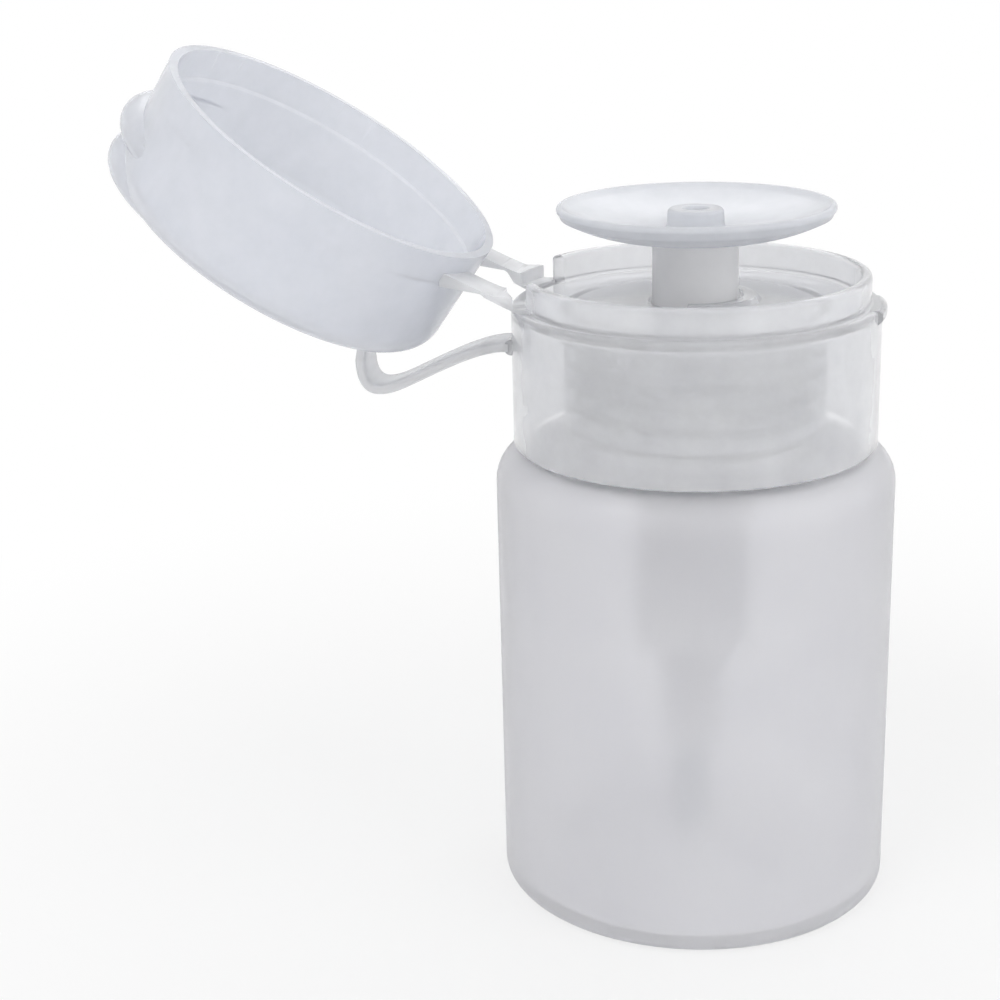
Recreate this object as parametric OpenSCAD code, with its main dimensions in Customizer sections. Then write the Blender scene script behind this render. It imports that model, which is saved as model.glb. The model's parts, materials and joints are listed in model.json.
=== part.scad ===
// Push-down pump bottle with a flip-top lid, standing with the lid swung open.
// Millimetres, +Z up. The origin is the centre of the base, on the table.
// The lid's hinge is on the -X side and its thumb grip on the +X side when closed.

/* [Bottle] */
// Outside diameter of the body
body_d = 45; // [42:0.5:56]
// Height of the shoulder above the table
body_h = 52.5; // [46:0.5:80]
// Wall of the blown bottle
wall = 1.2; // [0.8:0.1:1.8]
// Radius of the rounded shoulder
shoulder_r = 4; // [2.5:0.5:6]
// Radius of the heel round the base
heel_r = 1.2; // [0.8:0.1:3]
// Height of the hollow under the base
pushup_h = 1.6; // [1:0.1:3]
// Width of the ring that the bottle stands on
foot_w = 3; // [1.5:0.1:5]
// Outside diameter of the neck behind its thread
neck_d = 25.2; // [22:0.2:27]
// Wall of the neck
neck_wall = 1.3; // [1:0.1:1.8]
// Height of the neck above the shoulder
neck_h = 12.6; // [11:0.2:18]
// Radial room between neck and skirt for the two threads
thread_room = 1.05; // [0.9:0.05:1.4]
// Radius where the neck leaves the shoulder
neck_fillet = 0.8; // [0.4:0.1:1.5]

/* [Collar] */
// Outside diameter of the collar
collar_d = 40.8; // [39:0.2:42]
// Wall of the collar's outer shell
collar_wall = 1.2; // [0.9:0.1:1.8]
// Gap between the collar's lower edge and the shoulder
collar_gap = 0.4; // [0.3:0.1:1.2]
// Thickness of the deck, the floor of the drip basin
deck_t = 1.3; // [1:0.1:2]
// Wall of the threaded inner skirt
skirt_wall = 1.0; // [0.8:0.1:1.5]
// Length of the threaded inner skirt below the deck
skirt_h = 12.4; // [9:0.2:13]
// Radius on the collar's top edge
edge_r = 0.6; // [0.3:0.1:1]
// Outside diameter of the ring that the lid closes over
ring_d = 38.4; // [36:0.2:38.6]
// Height of that ring above the deck
ring_h = 3.15; // [2:0.05:4]
// Wall of that ring
ring_wall = 1.2; // [0.9:0.1:1.6]
// Width of the gap in the ring at the hinge
notch_w = 16; // [12:0.2:19]
// Width of the raised land round the shank's hole
boss_w = 1.9; // [1:0.1:3]
// Height of that land above the basin's floor
boss_h = 0.7; // [0.3:0.1:1.5]
// Radial room round the shank in its hole
boss_room = 0.5; // [0.3:0.1:0.8]
// Width of the catch under the lid's front edge
catch_w = 8; // [5:0.5:14]
// How far the catch stands out of the collar
catch_out = 0.5; // [0.3:0.1:0.8]
// Height of the catch
catch_h = 1.6; // [1.2:0.1:2.4]

/* [Lid] */
// Outside diameter of the lid at its rim
lid_d = 41.3; // [41.2:0.1:43]
// Height of the lid from rim to crown
lid_h = 14.8; // [14:0.2:20]
// Wall of the lid
lid_wall = 1.0; // [0.8:0.05:1.2]
// Radius between the lid's side and its crown
lid_corner_r = 3.5; // [2:0.25:5]
// How much narrower the lid is at the top of its side
lid_draft = 0.25; // [0:0.05:0.6]
// Depth of the wider mouth inside the rim
mouth_h = 3.6; // [3:0.1:5]
// How far the wall steps in above the mouth
mouth_step = 0.25; // [0.1:0.05:0.4]
// Gap between the closed lid's rim and the collar
lid_gap = 0.5; // [0.3:0.05:1]
// How far the lid stands open
lid_open = 146.4; // [100:0.2:160]
// Height of one rib of the thumb grip
grip_rib_h = 4.25; // [3:0.05:4.6]
// Radius of the ribs seen from above
grip_r = 16.5; // [14:0.25:18]
// How far the lower rib stands out
grip_lower_out = 2.1; // [1:0.1:3]
// How far the upper rib stands out
grip_upper_out = 1.45; // [0.8:0.05:2.5]

/* [Hinge] */
// How far the hinge line is outside the collar
hinge_out = 2.24; // [1.8:0.02:3]
// How far the hinge line is above the collar's top
hinge_up = 2.3; // [1.8:0.05:3]
// Width of one hinge strap
hinge_strap_w = 5; // [3:0.1:6]
// Width over both hinge straps
hinge_span = 18; // [15:0.2:20]
// Height of a hinge strap above the collar's top where the shut lid ends
hinge_root_t = 1.8; // [1.2:0.1:2.2]
// Thickness of the flexing film
film_t = 0.5; // [0.3:0.05:0.8]
// How far a strap's foot laps down the collar's edge
hinge_foot = 0.2; // [0.1:0.1:0.5]
// How far a strap runs past the hinge line onto the lid
flap_l = 4.2; // [3:0.1:5]
// Thickness of a strap where it joins the lid
flap_t = 1.7; // [1:0.1:2]

/* [Spring strap] */
// Width of the strap that snaps the lid open and shut
strap_w = 5.5; // [4:0.1:7]
// Thickness of that strap
strap_t = 1.1; // [0.7:0.1:1.6]
// How far below the collar's top the strap starts
strap_drop = 5.4; // [4:0.1:8]
// How far in from the lid's edge the strap ends
strap_inset = 7.2; // [6:0.1:10]
// How far the strap's bend hangs below its end on the lid
strap_sag = 7.9; // [6:0.1:10]
// Width of the strap's bend
bend_w = 4.6; // [3.6:0.1:6]
// Radius of the rounded roots of the strap
root_r = 0.9; // [0.6:0.05:1.2]

/* [Push dish] */
// Diameter of the dish
dish_d = 30.5; // [26:0.5:34]
// Thickness of the dish
dish_t = 0.9; // [0.7:0.1:1.3]
// Depth of the dish from its rim
dish_depth = 2.7; // [2:0.1:3.2]
// Height of the dish's rim above the deck
dish_rise = 10.7; // [9.5:0.1:12]
// Outside diameter of the dish's shank
shank_d = 9.5; // [8.5:0.1:10]
// Length of the shank below the dish
shank_l = 15.5; // [14:0.5:18]
// Diameter of the raised outlet in the dish
outlet_d = 6.4; // [5:0.1:8]
// Height of the raised outlet
outlet_h = 2.2; // [1.4:0.1:2.4]
// Thickness of the outlet's roof over the stem
outlet_roof = 3.4; // [3.2:0.1:4]

/* [Pump] */
// Bore of the pump's barrel
barrel_bore = 10.8; // [10.6:0.1:12]
// Wall of the barrel
barrel_wall = 1.1; // [0.8:0.1:1.4]
// Length of the barrel below its flange
barrel_l = 37.5; // [35:0.5:40]
// Radial room round the pump's flange inside the skirt
flange_room = 0.95; // [0.4:0.05:1.6]
// Thickness of the flange
flange_t = 1.3; // [1:0.1:2]
// Thickness of the gasket under the flange
gasket_t = 1.0; // [0.6:0.1:1.6]
// Outside diameter of the stem inside the shank
stem_d = 6.0; // [5.4:0.1:6.6]
// Bore of the stem
stem_bore = 2.6; // [2:0.1:3]
// Length of the stem that reaches below the shank
stem_tail = 7.5; // [7:0.5:10]
// Height of the piston
piston_h = 5; // [4:0.5:6]
// Depth of the guide bush inside the barrel
bush_h = 4; // [3:0.5:5]
// Wire of the return spring
wire_d = 0.8; // [0.6:0.05:1]
// Outside diameter of the return spring
spring_d = 7.2; // [6.4:0.1:8.4]
// Full turns of the return spring
spring_turns = 9; // [7:1:11]
// Height of the spring's seat on the stem
spring_seat_h = 1.2; // [0.8:0.1:2]
// Diameter of the vent hole in the barrel
vent_d = 0.8; // [0.5:0.1:1]
// Diameter of the inlet ball
inlet_ball_d = 4.4; // [4:0.1:4.8]
// Diameter of the outlet ball
outlet_ball_d = 3.2; // [3.0:0.1:3.6]
// How far each ball can lift off its seat
ball_lift = 1.0; // [0.6:0.1:1.2]
// Outside diameter of the dip tube
tube_d = 4.4; // [4:0.1:5]
// Wall of the dip tube
tube_wall = 0.6; // [0.4:0.1:0.9]
// Length of the spigot that holds the dip tube
spigot_l = 5; // [4:0.5:7]

/* [Hidden] */
$fn = 96;

run_gap = 0.05;     // radial clearance of a running fit
seat_gap = 0.05;    // gap between two bodies that seat on each other
ball_gap = 0.02;    // the same between a ball and its cone
flex_gap = 0.08;    // gap where a flexing strap meets the lid
shut_gap = 0.15;    // gap between the shut lid's edge and the straps' feet
cut = 0.5;          // overshoot of a cut
edge = 0.4;         // chamfer or radius on a moulded edge
lead_in = 0.6;      // taper where one piece is pushed into another

pp_clear = [0.84, 0.87, 0.92];
pp_white = [0.93, 0.94, 0.95];
pe_soft = [0.88, 0.90, 0.90];
steel = [0.62, 0.64, 0.66];

// bottle and neck
body_r = body_d / 2;
neck_r = neck_d / 2;
bore_r = neck_r - neck_wall;
foot_in_r = body_r - heel_r - foot_w;
neck_top = body_h + neck_h;

// what is clamped between the neck and the collar's deck
flange_z = neck_top + seat_gap + gasket_t;
flange_top = flange_z + flange_t;
deck_z = flange_top + seat_gap;
skirt_r = neck_r + thread_room;
flange_r = skirt_r - flange_room;

// collar
collar_r = collar_d / 2;
collar_top = deck_z + deck_t;
ring_r = ring_d / 2;

// lid, as it lies when closed, and the line that it turns about
lid_r = lid_d / 2;
rim_z = collar_top + lid_gap;
crown_z = rim_z + lid_h;
hinge_x = -(collar_r + hinge_out);
hinge_z = collar_top + hinge_up;
hinge_strap_y = (hinge_span - hinge_strap_w) / 2;

// push dish, stem and piston
shank_r = shank_d / 2;
stem_r = stem_d / 2;
stem_bore_r = stem_bore / 2;
dish_r = dish_d / 2;
outlet_r = outlet_d / 2;
dish_rim_z = collar_top + dish_rise;
dish_floor_z = dish_rim_z - dish_depth;
under_z = dish_floor_z - dish_t;
shank_end = under_z - shank_l;
stem_end = shank_end - stem_tail;
stem_top = dish_floor_z + outlet_h - outlet_roof;
piston_z = shank_end - piston_h;

// the outlet ball lies on a 45 degree cone at the top of the stem
outlet_ball_r = outlet_ball_d / 2;
chamber_r = outlet_ball_r + 0.35;
outlet_z = stem_top - outlet_ball_r - ball_lift - 0.4;
outlet_seat_z = outlet_z - rest_on_cone(outlet_ball_r, stem_bore_r);

// pump body
barrel_r = barrel_bore / 2;
barrel_out = barrel_r + barrel_wall;
barrel_end = flange_z - barrel_l;
bush_z = flange_top - bush_h;
bush_rim = 2.2;      // how far the bush's rim reaches over the barrel
bush_rim_t = 0.8;    // thickness of that rim
wiper_h = 1.6;       // how far the wiper's lip hangs below the bush

// the inlet ball lies on another such cone, in a cage below the barrel
inlet_ball_r = inlet_ball_d / 2;
cage_r = inlet_ball_r + 0.5;
inlet_seat_r = 0.64 * inlet_ball_r;
nub_h = 0.6;         // height of the nubs that keep the ball in
cage_h = rest_on_cone(inlet_ball_r, inlet_seat_r) + inlet_ball_r + ball_lift + nub_h;
cage_z = barrel_end - cage_h;
inlet_z = cage_z + rest_on_cone(inlet_ball_r, inlet_seat_r);
tube_r = tube_d / 2;
spigot_top = cage_z - 1.2;
spigot_z = spigot_top - spigot_l;
tube_end = pushup_h + wall + 1.2;

// route of the spring strap in the mid-plane, as [x, z] with the lid open
strap_from = [-collar_r - root_r - flex_gap, collar_top - strap_drop];
strap_to = opened([-(lid_r - strap_inset), crown_z]);
bend_low = strap_to[1] - strap_sag;
elbow = [strap_to[0] + bend_w, bend_low + 0.33 * bend_w];
riser = [strap_to[0] - 0.15 * bend_w, strap_to[1] - strap_sag / 2];
run_curve = [strap_from, strap_from - [0.7 * bend_w, 0.1], elbow + [0.9 * bend_w, 0.43 * bend_w], elbow];
bend_curve = [elbow, elbow - [0.7 * bend_w, 0.33 * bend_w], [riser[0], bend_low], riser];
riser_end = strap_to + unit(riser - strap_to) * (root_r + flex_gap);
split = 0.45;        // share of the run that belongs to the root piece
split_gap = 0.003;   // and the gap between the two pieces

// height of a ball's centre above the narrow edge of a 45 degree cone
function rest_on_cone(ball, seat) = ball * sqrt(2) - seat + ball_gap;
// points of an arc from angle a0 to a1
function arc(cx, cy, r, a0, a1, n = 8) =
    [for (i = [0:n]) let (a = a0 + (a1 - a0) * i / n) [cx + r * cos(a), cy + r * sin(a)]];
// a shallow parabola that rises by h from radius r to the axis
function dome(r, z, h, n = 6) = [for (i = [0:n]) let (t = 1 - i / n) [r * t, z + h * (1 - t * t)]];
// the hollow side of a bowl that rises by h from radius r0 to r1
function bowl(r0, r1, z, h, n = 7) =
    [for (i = [0:n]) let (t = i / n) [r0 + (r1 - r0) * t, z + h * pow(t, 2.2)]];
function reversed(points) = [for (i = [len(points) - 1:-1:0]) points[i]];
// turns a point of the closed lid's mid-plane to the open pose
function opened(p) =
    let (dx = p[0] - hinge_x, dz = p[1] - hinge_z)
    [hinge_x + dx * cos(lid_open) - dz * sin(lid_open),
     hinge_z + dx * sin(lid_open) + dz * cos(lid_open)];
// a point of a cubic Bezier curve
function bezier(p, t) =
    pow(1 - t, 3) * p[0] + 3 * t * pow(1 - t, 2) * p[1] + 3 * t * t * (1 - t) * p[2] + pow(t, 3) * p[3];
function unit(v) = v / norm(v);
// the normal of a path at its point i
function side(path, i) =
    let (a = path[max(i - 1, 0)], b = path[min(i + 1, len(path) - 1)], d = unit(b - a)) [-d[1], d[0]];
// a strip of thickness t along a path
function strip(path, t) = concat(
    [for (i = [0:len(path) - 1]) path[i] + side(path, i) * t / 2],
    [for (i = [len(path) - 1:-1:0]) path[i] - side(path, i) * t / 2]);

// ---- bottle ----
module bottle() {
    outside = concat(reversed(dome(foot_in_r, 0, pushup_h)),
                     arc(body_r - heel_r, heel_r, heel_r, -90, 0),
                     arc(body_r - shoulder_r, body_h - shoulder_r, shoulder_r, 0, 90),
                     arc(neck_r + neck_fillet, body_h + neck_fillet, neck_fillet, 270, 180, 4),
                     [[neck_r, neck_top - edge], [neck_r - edge, neck_top]]);
    inside = concat([[bore_r, neck_top]],
                    arc(bore_r + neck_fillet, body_h - wall + neck_fillet, neck_fillet, 180, 270, 4),
                    arc(body_r - shoulder_r, body_h - shoulder_r, shoulder_r - wall, 90, 0),
                    arc(body_r - wall - heel_r, wall + heel_r, heel_r, 0, -90),
                    dome(foot_in_r - wall / 2, wall, pushup_h));
    color(pp_clear) rotate_extrude() polygon(concat(outside, inside));
}

// ---- collar with its basin ----
module collar_profile() {
    shell_in = collar_r - collar_wall;
    hole_r = shank_r + boss_room;
    polygon(concat([[shell_in, body_h + collar_gap], [collar_r, body_h + collar_gap]],
                   arc(collar_r - edge_r, collar_top - edge_r, edge_r, 0, 90, 4),
                   [[hole_r + boss_w, collar_top], [hole_r + boss_w - edge, collar_top + boss_h],
                    [hole_r, collar_top + boss_h], [hole_r, deck_z], [shell_in, deck_z]]));
    translate([skirt_r, deck_z - skirt_h]) square([skirt_wall, skirt_h + deck_t / 2]);
}
// the ring that the lid closes over, with a gap for the hinge
module collar_ring() {
    foot = deck_t / 2;
    top = foot + ring_h;
    difference() {
        translate([0, 0, collar_top - foot]) rotate_extrude()
            polygon(concat([[ring_r - ring_wall, 0], [ring_r, 0]],
                           arc(ring_r - edge, top - edge, edge, 0, 90, 4),
                           arc(ring_r - ring_wall + edge, top - edge, edge, 90, 180, 4)));
        translate([-collar_r - cut, -notch_w / 2, collar_top])
            cube([collar_r, notch_w, ring_h + cut]);
    }
}
module catch() {
    root = collar_r - collar_wall / 2;
    out = collar_r + catch_out;
    intersection() {
        translate([0, 0, collar_top - catch_h]) rotate_extrude()
            polygon([[root, 0], [collar_r, 0], [out, catch_out], [out, catch_h - edge],
                     [collar_r, catch_h], [root, catch_h]]);
        translate([0, -catch_w / 2, collar_top - catch_h - cut])
            cube([out + cut, catch_w, catch_h + 2 * cut]);
    }
}
// the rounded root that a spring strap bends out of, across the hinge side
module strap_root(x, z) {
    translate([x, strap_w / 2, z]) rotate([90, 0, 0]) cylinder(r = root_r, h = strap_w, $fn = 48);
}
module collar() {
    color(pp_clear) union() {
        rotate_extrude() collar_profile();
        collar_ring();
        catch();
        difference() {
            strap_root(-collar_r, collar_top - strap_drop);
            translate([0, 0, body_h]) cylinder(r = collar_r - collar_wall / 2, h = collar_top - body_h);
        }
    }
}

// ---- lid, drawn closed and swung open ----
module lid_outline() {
    top_r = lid_r - lid_draft;
    polygon(concat([[0, 0], [lid_r, 0]],
                   arc(top_r - lid_corner_r, lid_h - lid_corner_r, lid_corner_r, 0, 90),
                   [[0, lid_h]]));
}
module lid_cavity() {
    in_r = lid_r - lid_wall;
    top_r = in_r - mouth_step - lid_draft;
    fillet = lid_corner_r - lid_wall;
    rotate_extrude()
        polygon(concat([[0, -cut], [in_r, -cut], [in_r, mouth_h], [in_r - mouth_step, mouth_h + edge]],
                       arc(top_r - fillet, lid_h - lid_wall - fillet, fillet, 0, 90),
                       [[0, lid_h - lid_wall]]));
}
// one rounded rib of the thumb grip, a crescent where it leaves the lid's side
module grip_rib(z, out) {
    half = grip_rib_h / 2;
    translate([lid_r + out - grip_r, 0, z]) rotate_extrude()
        polygon(concat([[0, 0]], arc(grip_r - half, half, half, -90, 90), [[0, grip_rib_h]]));
}
module lid_closed() {
    difference() {
        union() {
            rotate_extrude() lid_outline();
            grip_rib(lid_h - grip_rib_h, grip_upper_out);
            grip_rib(lid_h - 2 * grip_rib_h, grip_lower_out);
            strap_root(-(lid_r - strap_inset), lid_h);
        }
        lid_cavity();
    }
}
module swing() {
    translate([hinge_x, 0, hinge_z]) rotate([0, -lid_open, 0]) translate([-hinge_x, 0, -hinge_z])
        children();
}
module lid() {
    color(pp_clear) swing() translate([0, 0, rim_z]) lid_closed();
}

// ---- the two straps that carry the lid: a foot, a wedge, a thin film and a flap ----
// the space of the lid, shut and open
module lid_room() {
    translate([0, 0, rim_z - shut_gap]) cylinder(r = lid_r + shut_gap, h = lid_h);
    swing() translate([0, 0, rim_z - cut]) cylinder(r = lid_r + flex_gap, h = lid_h + 2 * cut);
}
// the space under the wedges, a cone from the collar's edge to the ends of the hinge line
module under_wedge() {
    tip_r = norm([hinge_x, hinge_span / 2]);
    rotate_extrude()
        polygon([[ring_r, deck_z], [collar_r, collar_top - hinge_foot],
                 [tip_r, hinge_z - film_t / 2], [tip_r, deck_z]]);
}
module hinge_strap(y) {
    root_x = -(ring_r - hinge_strap_w);
    knee_x = -(lid_r + shut_gap);
    foot_z = collar_top - hinge_foot;
    flap_x = hinge_x - flap_l;
    flap_z = hinge_z + film_t;
    color(pp_clear) difference() {
        translate([0, y, 0]) rotate([90, 0, 0])
            linear_extrude(hinge_strap_w, center = true)
                polygon([[root_x, foot_z], [knee_x, foot_z],
                         [hinge_x + film_t, hinge_z - film_t / 2], [flap_x, flap_z],
                         [flap_x, flap_z + flap_t], [hinge_x, hinge_z + film_t / 2],
                         [knee_x, collar_top + hinge_root_t], [root_x, collar_top + hinge_root_t]]);
        rotate_extrude() collar_profile();
        translate([0, 0, deck_z]) cylinder(r = ring_r, h = ring_h + deck_t);
        under_wedge();
        lid_room();
    }
}
module hinge_strap_front() {
    hinge_strap(-hinge_strap_y);
}
module hinge_strap_rear() {
    hinge_strap(hinge_strap_y);
}

// ---- the spring strap: a long run from the collar, a bend and a short riser ----
module strap_piece(path) {
    color(pp_clear) rotate([90, 0, 0]) linear_extrude(strap_w, center = true)
        polygon(strip(path, strap_t));
}
module spring_strap_root() {
    strap_piece([for (i = [0:6]) bezier(run_curve, split * i / 6)]);
}
module spring_strap_tip() {
    from = split + split_gap;
    strap_piece(concat([for (i = [0:6]) bezier(run_curve, from + (1 - from) * i / 6)],
                       [for (i = [1:10]) bezier(bend_curve, i / 10)],
                       [riser_end]));
}

// ---- push dish, stem and piston: they move together ----
module push_dish() {
    lip = dish_t / 2;
    lip_r = dish_r - lip;
    rise = dish_depth - lip;
    color(pp_clear) rotate_extrude()
        polygon(concat([[stem_r, shank_end], [shank_r, shank_end]],
                       bowl(shank_r, lip_r, under_z, rise),
                       arc(lip_r, dish_rim_z - lip, lip, -60, 120, 6),
                       reversed(bowl(outlet_r + edge, dish_r - dish_t, dish_floor_z, rise)),
                       [[outlet_r, dish_floor_z + edge],
                        [outlet_r, dish_floor_z + outlet_h - edge],
                        [outlet_r - edge, dish_floor_z + outlet_h],
                        [stem_bore_r + edge, dish_floor_z + outlet_h],
                        [stem_bore_r, dish_floor_z + outlet_h - edge],
                        [stem_bore_r, stem_top], [stem_r, stem_top]]));
}
module stem() {
    seat_r = spring_d / 2 + 0.2;
    color(pp_white) rotate_extrude()
        polygon([[stem_bore_r, stem_end], [seat_r, stem_end], [seat_r, stem_end + spring_seat_h],
                 [stem_r, stem_end + spring_seat_h], [stem_r, stem_top], [chamber_r, stem_top],
                 [chamber_r, outlet_seat_z + chamber_r - stem_bore_r], [stem_bore_r, outlet_seat_z]]);
}
// a piston with a lip up and a lip down
module piston() {
    lip = barrel_r - run_gap;
    lip_t = 0.5;
    waist = lip - lead_in;
    color(pe_soft) translate([0, 0, piston_z]) rotate_extrude()
        polygon([[stem_r, 2 * edge], [stem_r + 2 * edge, 2 * edge], [lip - lip_t, 0], [lip, 0],
                 [lip, lip_t], [waist, 4 * edge], [waist, piston_h - 4 * edge],
                 [lip, piston_h - lip_t], [lip, piston_h], [lip - lip_t, piston_h],
                 [shank_r - lip_t, piston_h - 2 * edge], [shank_r - lip_t, piston_h],
                 [stem_r, piston_h]]);
}
module outlet_ball() {
    color(steel) translate([0, 0, outlet_z]) sphere(r = outlet_ball_r);
}

// ---- pump body ----
module guide_bush() {
    in_r = shank_r + run_gap;
    color(pp_white) rotate_extrude()
        polygon([[in_r, bush_z], [barrel_r, bush_z], [barrel_r, flange_top - bush_rim_t],
                 [barrel_r + bush_rim, flange_top - bush_rim_t], [barrel_r + bush_rim, flange_top],
                 [in_r + edge, flange_top], [in_r, flange_top - edge]]);
}
module stem_wiper() {
    in_r = shank_r + run_gap;
    lip_r = (in_r + barrel_r) / 2;
    color(pe_soft) translate([0, 0, bush_z]) rotate_extrude()
        polygon([[in_r, -wiper_h], [lip_r, -wiper_h], [barrel_r, edge - wiper_h],
                 [barrel_r, 0], [lip_r, 0], [in_r, -edge]]);
}
module housing_profile() {
    cage_out = cage_r + barrel_wall;
    spigot_r = tube_r + barrel_wall;
    counterbore = barrel_r + bush_rim + run_gap;
    polygon([[tube_r, spigot_z], [spigot_r - edge, spigot_z], [spigot_r, spigot_z + edge],
             [spigot_r, spigot_top], [cage_out, cage_z + lead_in], [cage_out, barrel_end - barrel_wall],
             [barrel_out, barrel_end], [barrel_out, flange_z], [flange_r, flange_z],
             [flange_r, flange_top], [counterbore, flange_top], [counterbore, flange_top - bush_rim_t],
             [barrel_r, flange_top - bush_rim_t], [barrel_r, barrel_end + lead_in],
             [barrel_r - lead_in, barrel_end], [cage_r, barrel_end],
             [cage_r, cage_z + cage_r - inlet_seat_r], [inlet_seat_r, cage_z],
             [inlet_seat_r, spigot_top], [tube_r, spigot_top]]);
}
module pump_housing() {
    nub_w = 0.8;
    nub_in = inlet_ball_r - 0.3;
    vent_z = (shank_end + bush_z - wiper_h) / 2;
    color(pp_white) difference() {
        union() {
            rotate_extrude() housing_profile();
            for (a = [0:120:240])
                rotate([0, 0, a]) translate([nub_in, -nub_w / 2, barrel_end - nub_h])
                    cube([cage_r + barrel_wall / 2 - nub_in, nub_w, nub_h]);
        }
        translate([0, 0, vent_z]) rotate([90, 0, 0]) cylinder(d = vent_d, h = barrel_out + cut, $fn = 32);
    }
}
// height of the spring's wire after a turns, with one close turn at each end
function wire_z(a, n, h) =
    let (close = 1.15 * wire_d, rest = (h - wire_d - 2 * close) / (n - 2))
    wire_d / 2 + (a < 1 ? a * close : a > n - 1 ? h - wire_d - (n - a) * close
                  : close + (a - 1) * rest);
module return_spring() {
    steps = 24;
    sides = 8;
    rings = spring_turns * steps;
    low = barrel_end + ball_gap;
    height = stem_end - low - ball_gap;
    mean_r = (spring_d - wire_d) / 2;
    points = [for (i = [0:rings]) let (turn = i / steps, z = low + wire_z(turn, spring_turns, height))
              for (k = [0:sides - 1]) let (a = 360 * (k + 0.5) / sides, r = mean_r + wire_d / 2 * cos(a))
              [r * cos(360 * turn), r * sin(360 * turn), z + wire_d / 2 * sin(a)]];
    skin = [for (i = [0:rings - 1]) for (k = [0:sides - 1])
            let (a = i * sides + k, b = i * sides + (k + 1) % sides) [a, a + sides, b + sides, b]];
    ends = [[for (k = [0:sides - 1]) k], [for (k = [sides - 1:-1:0]) rings * sides + k]];
    color(steel) polyhedron(points, concat(skin, ends), convexity = 10);
}
module inlet_ball() {
    color(steel) translate([0, 0, inlet_z]) sphere(r = inlet_ball_r);
}
module neck_gasket() {
    color(pe_soft) translate([0, 0, neck_top + seat_gap]) difference() {
        cylinder(r = flange_r, h = gasket_t);
        translate([0, 0, -cut]) cylinder(r = barrel_out + 2 * run_gap, h = gasket_t + 2 * cut);
    }
}
// a tube with its lower end cut at a slant
module dip_tube() {
    color(pp_clear) difference() {
        translate([0, 0, tube_end]) cylinder(r = tube_r, h = spigot_top - tube_end, $fn = 48);
        translate([0, 0, tube_end - cut])
            cylinder(r = tube_r - tube_wall, h = spigot_top - tube_end + 2 * cut, $fn = 48);
        translate([-tube_d, -tube_d, tube_end]) rotate([0, 25, 0])
            translate([0, 0, -tube_d]) cube([3 * tube_d, 2 * tube_d, tube_d]);
    }
}

bottle();
collar();
lid();
hinge_strap_front();
hinge_strap_rear();
spring_strap_root();
spring_strap_tip();
push_dish();
stem();
piston();
outlet_ball();
guide_bush();
stem_wiper();
pump_housing();
return_spring();
inlet_ball();
neck_gasket();
dip_tube();
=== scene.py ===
import json
import math

import bmesh
import bpy
from mathutils import Matrix, Vector


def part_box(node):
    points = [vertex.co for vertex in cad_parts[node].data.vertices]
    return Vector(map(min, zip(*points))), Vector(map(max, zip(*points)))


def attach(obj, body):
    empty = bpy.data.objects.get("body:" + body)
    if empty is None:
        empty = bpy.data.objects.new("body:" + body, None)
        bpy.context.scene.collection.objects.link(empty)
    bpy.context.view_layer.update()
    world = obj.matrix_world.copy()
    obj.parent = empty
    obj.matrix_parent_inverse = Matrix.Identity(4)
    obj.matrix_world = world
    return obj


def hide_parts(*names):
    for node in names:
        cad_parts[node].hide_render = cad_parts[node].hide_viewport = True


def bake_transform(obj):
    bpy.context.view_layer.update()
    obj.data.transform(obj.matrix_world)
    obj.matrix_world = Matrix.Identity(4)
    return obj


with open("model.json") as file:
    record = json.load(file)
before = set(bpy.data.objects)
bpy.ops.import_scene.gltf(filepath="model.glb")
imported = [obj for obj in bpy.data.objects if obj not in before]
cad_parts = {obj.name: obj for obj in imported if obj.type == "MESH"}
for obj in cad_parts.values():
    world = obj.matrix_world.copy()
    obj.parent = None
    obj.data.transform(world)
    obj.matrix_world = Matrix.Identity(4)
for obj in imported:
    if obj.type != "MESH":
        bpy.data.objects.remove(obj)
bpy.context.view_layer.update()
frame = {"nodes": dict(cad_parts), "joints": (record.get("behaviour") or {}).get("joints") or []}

# Push-down pump bottle with a flip-top lid. Sizes are millimetres here and turn into metres in toMesh().
mm = 0.001
joints = {joint["name"]: joint for joint in frame["joints"]}


def boxMm(node):
    low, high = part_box(node)
    return low / mm, high / mm


bottleHigh = boxMm("bottle")[1]
collarLow, collarHigh = boxMm("collar")
dishLow, dishHigh = boxMm("push_dish")
stemLow, stemHigh = boxMm("stem")
pistonLow, pistonHigh = boxMm("piston")
bushLow, bushHigh = boxMm("guide_bush")
wiperLow, wiperHigh = boxMm("stem_wiper")
housingLow, housingHigh = boxMm("pump_housing")
gasketLow, gasketHigh = boxMm("neck_gasket")
tubeHigh = boxMm("dip_tube")[1]
springLow, springHigh = boxMm("return_spring")

hingeX, hingeZ = (joints["lid_hinge"]["pos_m"][i] / mm for i in (0, 2))
lidOpen = math.radians(joints["lid_hinge"]["range_deg"][1])


# mesh helpers
def toMesh(name, verts, faces):
    mesh = bpy.data.meshes.new(name)
    mesh.from_pydata([Vector(v) * mm for v in verts], [], faces)
    bm = bmesh.new()
    bm.from_mesh(mesh)
    bmesh.ops.remove_doubles(bm, verts=bm.verts, dist=1e-7)
    bmesh.ops.recalc_face_normals(bm, faces=bm.faces)
    for face in bm.faces:
        face.smooth = True
    bm.to_mesh(mesh)
    bm.free()
    obj = bpy.data.objects.new(name, mesh)
    bpy.context.scene.collection.objects.link(obj)
    return obj


def arc(cx, cy, r, start, end, steps=8):
    angles = [math.radians(start + (end - start) * i / steps) for i in range(steps + 1)]
    return [(cx + r * math.cos(a), cy + r * math.sin(a)) for a in angles]


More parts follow.
